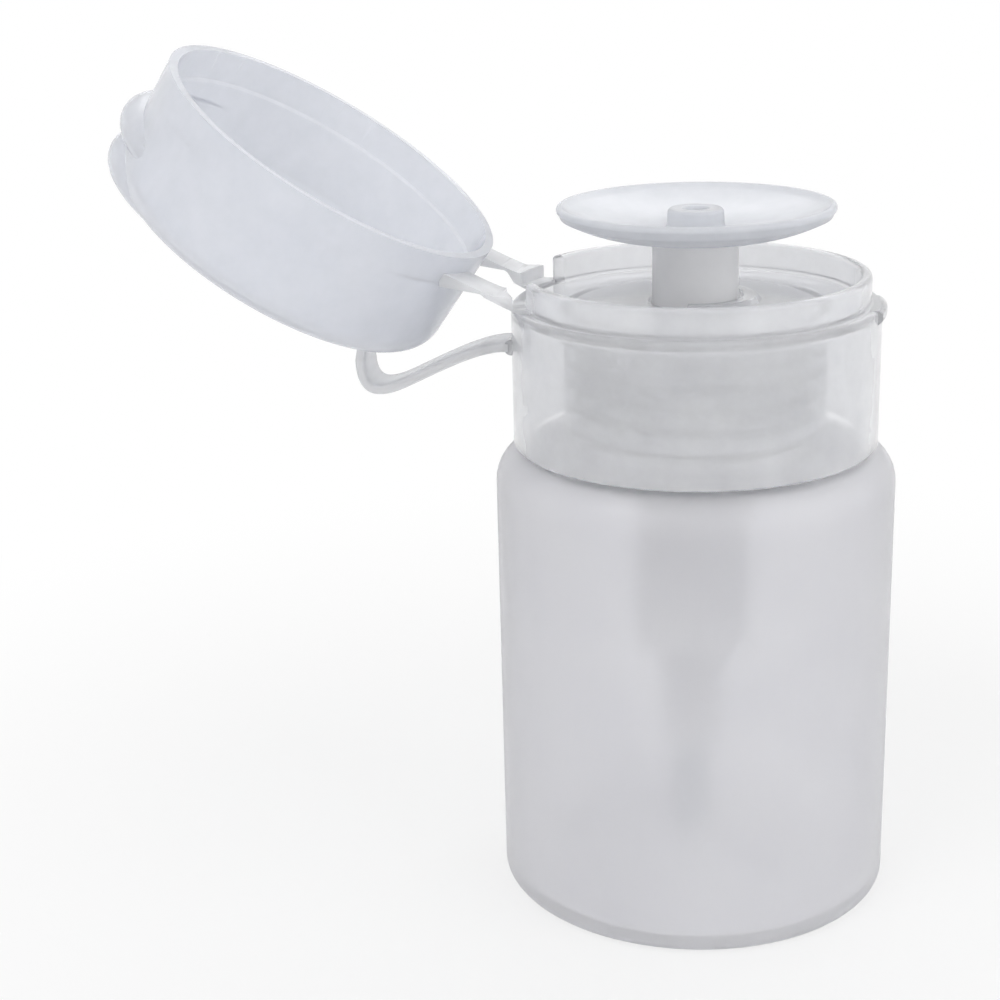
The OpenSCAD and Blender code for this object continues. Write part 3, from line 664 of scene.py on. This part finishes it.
def hingeStrap(name, y):
    s, ring = hingeStrapSize, collarSize["ringRadius"]
    top, film = collarTop(), s["film"]
    foot, knee = top - s["foot"], -(lidSize["radius"] + s["shutGap"])
    flapX = hingeX - s["flapLength"]
    outline = softProfile([
        (-ring + s["width"], foot), (knee, foot, 0.3), (hingeX + film, hingeZ - film / 2, 0.9),
        (flapX, hingeZ + film), (flapX, hingeZ + film + s["flapThick"]), (hingeX, hingeZ + film / 2, 2.0),
        (knee, top + s["rootHeight"], 1.0), (-ring + s["width"], top + s["rootHeight"])], steps=6)
    outline = divided(outline, 0.3)
    count = len(outline)
    verts = [(x, y - s["width"] / 2, z) for x, z in outline] + [(x, y + s["width"] / 2, z) for x, z in outline]
    faces = [tuple(range(count)), tuple(reversed(range(count, 2 * count)))]
    faces += [(k, k + count, (k + 1) % count + count, (k + 1) % count) for k in range(count)]
    strap = toMesh(name, verts, faces)
    tip = math.hypot(hingeX, s["span"] / 2)
    under = lathe("underWedge", [(ring - 1, top - 4), (ring - 1, foot - 0.5), (collarHigh.y - 0.3, foot),
                                 (tip, hingeZ - film / 2), (tip, top - 4)], steps=128)
    combine(strap, under, "DIFFERENCE")
    shut = lathe("shutRoom", [(0, lidRim() - s["shutGap"]), (-knee, lidRim() - s["shutGap"]), (-knee, 90), (0, 90)],
                 closed=False, steps=192)
    combine(strap, shut, "DIFFERENCE")
    inner = lathe("ringRoom", [(0, 60), (ring - 0.2, 60), (ring - 0.2, 90), (0, 90)], closed=False, steps=192)
    combine(strap, inner, "DIFFERENCE")
    wall = lidSize["radius"] - s["sink"]
    lidBody = lathe("lidRoom", [(0, -1), (wall, -1), (wall, 20), (0, 20)], closed=False, steps=192)
    combine(strap, moved(lidBody, opened() @ Matrix.Translation((0, 0, lidRim() * mm))), "DIFFERENCE")
    return softEdges(strap, s["soften"])


def makeHingeStraps():
    s = hingeStrapSize
    centreY = (s["span"] - s["width"]) / 2
    for name, node, y in (("hingeStrapFront", "hinge_strap_front", -centreY),
                          ("hingeStrapRear", "hinge_strap_rear", centreY)):
        strap = hingeStrap(name, centreY)
        if y < 0:
            strap.data.transform(Matrix.Scale(-1, 4, (0, 1, 0)))
            strap.data.flip_normals()
        finished(strap, "closure_pp", None, node, look="strap")
        (hingeX + 1.0) * mm
        y * mm
        hingeZ * mm
        (hingeX - 1.0) * mm
        y * mm
        hingeZ * mm
        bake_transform(strap)


# the spring strap: a long run from the collar, a bend, and a riser to the lid's crown
# its round roots are narrower by rootInset, so that no two side faces lie in one plane
strapSize = dict(width=5.5, thick=1.1, sag=7.9, bend=4.6, split=2.6, embed=0.55, corner=0.32, rootInset=0.12)


def springStrapRoute():
    s, lid, collar = strapSize, lidSize, collarSize
    rootX = -collarHigh.y - collar["rootRadius"]
    start = Vector((rootX, collarTop() - collar["strapDrop"]))
    crown = opened() @ Vector((-(lid["radius"] - lid["strapInset"]) * mm, 0, (lidRim() + lid["height"]) * mm))
    end = Vector((crown.x / mm, crown.z / mm))
    bend, low = s["bend"], end.y - s["sag"]
    elbow = Vector((end.x + bend, low + 0.33 * bend))
    riser = Vector((end.x - 0.15 * bend, end.y - s["sag"] / 2))
    run = [start, start - Vector((0.7 * bend, 0.1)), elbow + Vector((0.9 * bend, 0.43 * bend)), elbow]
    turn = [elbow, elbow - Vector((0.7 * bend, 0.33 * bend)), Vector((riser.x, low)), riser]
    points = [start + Vector((s["embed"], 0))] + [bezier(run, i / 40) for i in range(41)]
    points += [bezier(turn, i / 40) for i in range(1, 41)]
    last = end + (riser - end).normalized() * (collar["rootRadius"] - s["embed"])
    points += [riser.lerp(last, i / 6) for i in range(1, 7)]
    return points


def makeSpringStrap():
    s = strapSize
    points = springStrapRoute()
    lengths = [0.0]
    for a, b in zip(points, points[1:]):
        lengths.append(lengths[-1] + (b - a).length)
    cutAt = next(i for i, length in enumerate(lengths) if length - s["embed"] >= s["split"])
    pieces = (("springStrapRoot", points[:cutAt + 1], "spring_strap_root", "collar", "strap_root"),
              ("springStrapTip", points[cutAt:], "spring_strap_tip", "strap_root", "strap_tip"))
    for name, part, node, first, second in pieces:
        strap = strapMesh(name, [(p.x, p.y, s["thick"]) for p in part], s["width"], s["corner"])
        finished(strap, "closure_pp", None, node, look="strap")
        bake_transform(strap)


# push dish, stem and piston
dishSize = dict(shankRadius=4.75, thick=0.9, depth=2.7, outletRadius=3.2, outletHeight=2.2, hole=1.3, roof=3.4,
                curve=2.2)


def bowl(inner, outer, z, rise, steps=16):
    curve = dishSize["curve"]
    return [(inner + (outer - inner) * i / steps, z + rise * (i / steps) ** curve) for i in range(steps + 1)]


def makeDish():
    s = dishSize
    radius, rim, shankLow = dishHigh.x, dishHigh.z, dishLow.z
    floor = rim - s["depth"]
    lip = s["thick"] / 2
    rise = s["depth"] - lip
    under = bowl(s["shankRadius"] + 0.5, radius - lip, floor - s["thick"], rise)
    over = list(reversed(bowl(s["outletRadius"] + 0.6, radius - s["thick"], floor, rise)))
    top = floor + s["outletHeight"]
    profile = softProfile([(stemTopRadius, shankLow, 0.2), (s["shankRadius"], shankLow, 0.3),
                           (s["shankRadius"], floor - s["thick"], 0.5)] + under[1:]
                          + arc(radius - lip, rim - lip, lip, -60, 120, 10) + over
                          + [(s["outletRadius"], floor, 0.5), (s["outletRadius"] - 0.15, top, 0.45),
                             (s["hole"], top, 0.3), (s["hole"], top - s["roof"], 0.1),
                             (stemTopRadius, top - s["roof"], 0.1)], steps=5)
    finished(lathe("pushDish", profile, steps=192), "dish_pp", "press", "push_dish")


stemTopRadius = 3.0
stemSize = dict(bore=1.3, seatHeight=1.2, chamber=1.95, chamberDepth=3.3, round=0.1)


def makeStem():
    s = stemSize
    low, high, seat = stemLow.z, stemHigh.z, stemHigh.x
    coneTop = high - s["chamberDepth"]
    shoulder, edge = low + s["seatHeight"], s["round"]
    profile = softProfile([(s["bore"], low, edge), (seat, low, 2 * edge), (seat, shoulder, 2 * edge),
                           (stemTopRadius, shoulder, 2 * edge), (stemTopRadius, high, edge),
                           (s["chamber"], high, edge), (s["chamber"], coneTop, edge),
                           (s["bore"], coneTop - s["chamber"] + s["bore"], edge)])
    finished(lathe("pumpStem", profile, steps=96), "pump_pp", "press", "stem")


pistonSize = dict(lipThick=0.5, lipHeight=0.5, waist=0.6, waistFrom=1.6, groove=0.8, lowGroove=3.8, highGroove=4.25)


def makePiston():
    s = pistonSize
    low, high, lip = pistonLow.z, pistonHigh.z, pistonHigh.x
    waist, thin = lip - s["waist"], lip - s["lipThick"]
    profile = softProfile([(stemTopRadius, low + s["groove"], 0.1), (s["lowGroove"], low + s["groove"], 0.3),
                           (thin, low, 0.15), (lip, low, 0.1), (lip, low + s["lipHeight"], 0.2),
                           (waist, low + s["waistFrom"], 0.4), (waist, high - s["waistFrom"], 0.4),
                           (lip, high - s["lipHeight"], 0.2), (lip, high, 0.1), (thin, high, 0.15),
                           (s["highGroove"], high - s["groove"], 0.2), (s["highGroove"], high, 0.1),
                           (stemTopRadius, high, 0.1)], steps=4)
    finished(lathe("pumpPiston", profile, steps=96), "seal_pe", "press", "piston")


# pump body
pumpSize = dict(barrelWall=1.1, barrelRadius=5.4, flange=1.3, bushRim=2.2, bushRimThick=0.8, cageRadius=2.7,
                seatRadius=1.41, spigotLength=5.0, spigotStep=1.2, nubIn=1.9, nubWidth=0.8, nubHeight=0.6, vent=0.8,
                soften=0.08)


def makeHousing():
    s = pumpSize
    low, top, flange = housingLow.z, housingHigh.z, housingHigh.x
    flangeLow = top - s["flange"]
    barrel, out = s["barrelRadius"], s["barrelRadius"] + s["barrelWall"]
    spigotTop = low + s["spigotLength"]
    cage = spigotTop + s["spigotStep"]
    end = springLow.z
    tube = tubeHigh.x
    spigot, cageOut = tube + s["barrelWall"], s["cageRadius"] + s["barrelWall"]
    bore = barrel + s["bushRim"] + 0.05
    cageIn, seat, rimSeat = s["cageRadius"], s["seatRadius"], top - s["bushRimThick"]
    profile = softProfile([
        (tube, low, 0.15), (spigot, low, 0.4), (spigot, spigotTop, 0.3), (cageOut, cage + 0.6, 0.3),
        (cageOut, end - s["barrelWall"], 0.4), (out, end, 0.5), (out, flangeLow, 0.5), (flange, flangeLow, 0.2),
        (flange, top, 0.3), (bore, top, 0.15), (bore, rimSeat, 0.05), (barrel, rimSeat, 0.2),
        (barrel, end + 0.6, 0.3), (barrel - 0.6, end, 0.1), (cageIn, end, 0.2),
        (cageIn, cage + cageIn - seat, 0.3), (seat, cage, 0.1), (seat, spigotTop, 0.1), (tube, spigotTop, 0.1)])
    housing = lathe("pumpHousing", profile, steps=128)
    for k in range(3):
        nub = boxBetween("ballNub", (s["nubIn"], -s["nubWidth"] / 2, end - s["nubHeight"]),
                         (s["cageRadius"] + s["barrelWall"] / 2, s["nubWidth"] / 2, end - 0.02))
        combine(housing, moved(nub, Matrix.Rotation(math.radians(120 * k), 4, "Z")), "UNION")
    ventRadius, ventHeight = s["vent"] / 2, (dishLow.z + wiperLow.z) / 2
    vent = lathe("ventCut", [(0, 0), (ventRadius, 0), (ventRadius, out + 1), (0, out + 1)], closed=False, steps=24)
    moved(vent, Matrix.Translation((0, 0, ventHeight * mm)) @ Matrix.Rotation(math.pi / 2, 4, "X"))
    combine(housing, vent, "DIFFERENCE")
    softEdges(housing, s["soften"])
    finished(housing, "pump_pp", "pump", "pump_housing")


def makeBushAndSeals():
    s = pumpSize
    low, top, rim, inner = bushLow.z, bushHigh.z, bushHigh.x, dishSize["shankRadius"] + 0.05
    barrel = s["barrelRadius"]
    bush = softProfile([(inner, low, 0.15), (barrel, low, 0.15), (barrel, top - s["bushRimThick"], 0.1),
                        (rim, top - s["bushRimThick"], 0.15), (rim, top, 0.25), (inner, top, 0.35)])
    finished(lathe("guideBush", bush, steps=96), "pump_pp", "pump", "guide_bush")
    lip, bottom = (inner + barrel) / 2, wiperLow.z
    wiper = softProfile([(inner, bottom, 0.1), (lip, bottom, 0.1), (barrel, bottom + 0.4, 0.1),
                         (barrel, wiperHigh.z, 0.05), (lip, wiperHigh.z, 0.05), (inner, wiperHigh.z - 0.4, 0.1)],
                        steps=3)
    finished(lathe("stemWiper", wiper, steps=96), "seal_pe", "pump", "stem_wiper")
    hole = barrel + s["barrelWall"] + 0.1
    ring = softProfile([(hole, gasketLow.z, 0.2), (gasketHigh.x, gasketLow.z, 0.3),
                        (gasketHigh.x, gasketHigh.z, 0.3), (hole, gasketHigh.z, 0.2)])
    finished(lathe("neckGasket", ring, steps=128), "seal_pe", "pump", "neck_gasket")


springSize = dict(turns=9, wire=0.4, closePitch=2.3)


def makeSpring(tree):
    s = springSize
    wire = s["wire"]
    mean = springHigh.y - wire
    low, high = springLow.z + wire, springHigh.z - wire
    coil = grown("returnSpring", tree, {
        "Turns": float(s["turns"]), "Radius": mean * mm, "Height": (high - low) * mm, "Wire": wire * mm,
        "Close": s["closePitch"] * wire * mm, "Material": materials["steel"]})
    for face in coil.data.polygons:
        face.use_smooth = len(face.vertices) == 4
    moved(coil, Matrix.Translation((0, 0, low * mm)))
    finished(coil, "steel", None, "return_spring")
    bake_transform(coil)


makeBottle()
print("bottle ready")
makeCollar()
print("collar ready")
makeLid()
print("lid ready")
makeHingeStraps()
makeSpringStrap()
print("straps ready")
makeDish()
makeStem()
makePiston()
makeHousing()
makeBushAndSeals()
print("pump ready")
makeThreads(threadTree())
makeSpring(springTree())
print("threads and spring ready")
keptNode("dip_tube", "tube_pe")
keptNode("inlet_ball", "steel")
keptNode("outlet_ball", "steel")

# camera, light and floor
cameraSize = dict(distance=209.75, height=114.39, swing=6.5, yaw=-6.068, pitch=18.134, roll=-1.536, lens=69.14)


def makeCamera():
    s = {key: math.radians(value) if key in ("swing", "yaw", "pitch", "roll") else value
         for key, value in cameraSize.items()}
    data = bpy.data.cameras.new("viewCamera")
    data.lens, data.sensor_width = s["lens"], 36
    data.clip_start, data.clip_end = 0.005, 20
    camera = bpy.data.objects.new("viewCamera", data)
    bpy.context.scene.collection.objects.link(camera)
    camera.matrix_world = (Matrix.Rotation(s["swing"], 4, "Z")
                           @ Matrix.Translation((0, -s["distance"] * mm, s["height"] * mm))
                           @ Matrix.Rotation(-s["yaw"], 4, "Z") @ Matrix.Rotation(math.pi / 2 - s["pitch"], 4, "X")
                           @ Matrix.Rotation(s["roll"], 4, "Z"))
    bpy.context.scene.camera = camera


lightSize = dict(
    key=dict(place=(-0.35, -0.55, 0.75), size=(0.45, 0.30), power=1.8),
    fill=dict(place=(0.60, -0.25, 0.40), size=(0.60, 0.60), power=1.4),
    back=dict(place=(0.10, 0.60, 0.55), size=(0.80, 0.30), power=1.0))


def makeLights():
    target = Vector((0, 0, 0.05))
    for name, s in lightSize.items():
        data = bpy.data.lights.new(name + "Light", "AREA")
        data.shape, data.size, data.size_y = "RECTANGLE", *s["size"]
        data.energy = s["power"]
        lamp = bpy.data.objects.new(name + "Light", data)
        bpy.context.scene.collection.objects.link(lamp)
        place = Vector(s["place"])
        turned = (target - place).to_track_quat("-Z", "Y").to_matrix().to_4x4()
        lamp.matrix_world = Matrix.Translation(place) @ turned


worldLook = dict(level=0.67, seen=1.0)
# these rays meet a white room, the others a plain studio level
seenRays = ("Is Camera Ray", "Is Glossy Ray", "Is Transmission Ray")


def makeWorld():
    world = bpy.data.worlds.new("studio")
    bpy.context.scene.world = world
    world.use_nodes = True
    tree = world.node_tree
    tree.nodes.clear()
    path = tree.nodes.new("ShaderNodeLightPath")
    either = path.outputs[seenRays[0]]
    for ray in seenRays[1:]:
        seen = tree.nodes.new("ShaderNodeMath")
        seen.operation = "MAXIMUM"
        tree.links.new(either, seen.inputs[0])
        tree.links.new(path.outputs[ray], seen.inputs[1])
        either = seen.outputs[0]
    level = tree.nodes.new("ShaderNodeMapRange")
    level.inputs["To Min"].default_value = worldLook["level"]
    level.inputs["To Max"].default_value = worldLook["seen"]
    tree.links.new(either, level.inputs["Value"])
    back = tree.nodes.new("ShaderNodeBackground")
    back.inputs["Color"].default_value = (1, 1, 1, 1)
    tree.links.new(level.outputs["Result"], back.inputs["Strength"])
    out = tree.nodes.new("ShaderNodeOutputWorld")
    tree.links.new(back.outputs[0], out.inputs["Surface"])


# the floor lies gap mm low, and from clearFrom to clearTo metres out it fades to white
floorLook = dict(size=6.0, gap=0.02, colour=0.86, glow=0.67, clearFrom=0.05, clearTo=0.16)


def makeFloor():
    s = floorLook
    half = s["size"] / 2 / mm
    corners = [(x * half, y * half, -s["gap"]) for x, y in ((-1, -1), (1, -1), (1, 1), (-1, 1))]
    floor = toMesh("floor", corners, [(0, 1, 2, 3)])
    finish = Finish("floor")
    place = finish.node("ShaderNodeTexCoord", output="Object")
    far = finish.node("ShaderNodeVectorMath", {"operation": "LENGTH"}, {0: place}, output="Value")
    fade = finish.node("ShaderNodeMapRange", {"interpolation_type": "SMOOTHSTEP"}, {
        "Value": far, "From Min": s["clearFrom"], "From Max": s["clearTo"], "To Min": s["glow"], "To Max": 1.0})
    path = finish.tree.nodes.new("ShaderNodeLightPath")
    seen = 0.0
    for ray in seenRays:
        met = Signal(finish, path.outputs[ray])
        seen = finish.node("ShaderNodeMath", {"operation": "MAXIMUM"}, {0: seen, 1: met})
    matte = finish.node("ShaderNodeBsdfDiffuse", None, {"Color": (s["colour"], s["colour"], s["colour"], 1)})
    white = finish.node("ShaderNodeEmission", None, {"Color": (1, 1, 1, 1), "Strength": 1.0})
    finish.output(finish.node("ShaderNodeMixShader", None, {0: seen * fade, 1: matte, 2: white}))
    floor.data.materials.append(finish.material)


makeCamera()
makeLights()
makeWorld()
makeFloor()
bpy.context.scene.view_settings.view_transform = "Standard"

print("scene ready")
